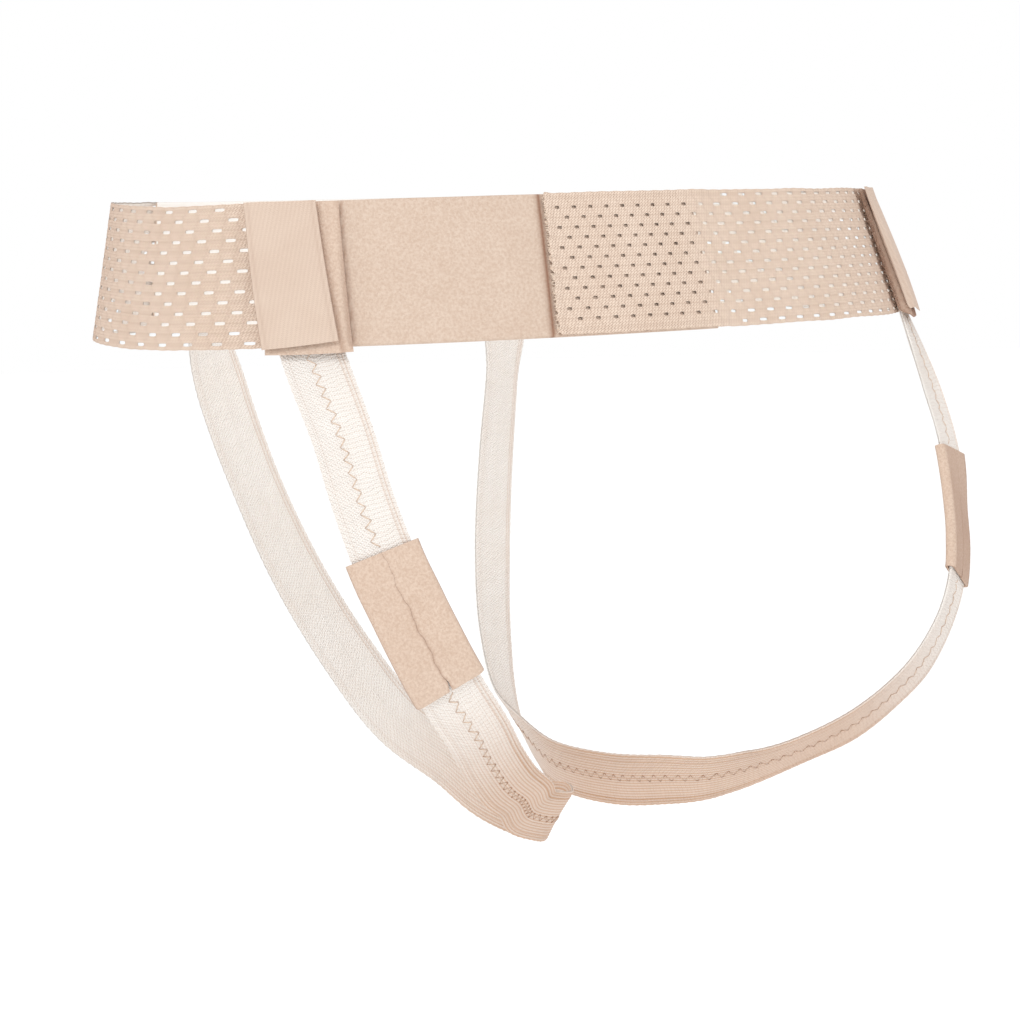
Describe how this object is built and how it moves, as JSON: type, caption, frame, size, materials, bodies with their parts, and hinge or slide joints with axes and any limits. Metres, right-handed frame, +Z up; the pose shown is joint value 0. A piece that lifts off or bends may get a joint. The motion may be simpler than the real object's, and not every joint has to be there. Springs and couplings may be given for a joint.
{
  "type": "hernia belt",
  "caption": "Worn hernia belt: a perforated elastic waist band with brushed loop panels, and elastic thigh straps with brushed sleeves that hang from hook tabs at the hips.",
  "frame": {"origin": "centre of the waist loop at the band's mid height", "axes": "+X towards the wearer's left, +Y towards the wearer's back, +Z up"},
  "size_m": [0.3464, 0.2235, 0.2478],
  "materials": {
    "mesh": "ribbed perforated elastic",
    "velour": "brushed loop",
    "tab": "brushed loop",
    "hook": "smooth twill",
    "strap": "knitted elastic"
  },
  "bodies": {
    "root": {"back_panel": "velour", "front_panel": "velour", "left_mesh_band": "mesh", "right_mesh_band": "mesh", "left_strap_tab": "tab", "left_hook_tab": "hook", "left_thigh_strap": "strap", "left_strap_sleeve": "tab", "right_strap_tab": "tab", "right_hook_tab": "hook", "right_thigh_strap": "strap", "right_strap_sleeve": "tab"}
  },
  "joints": []
}
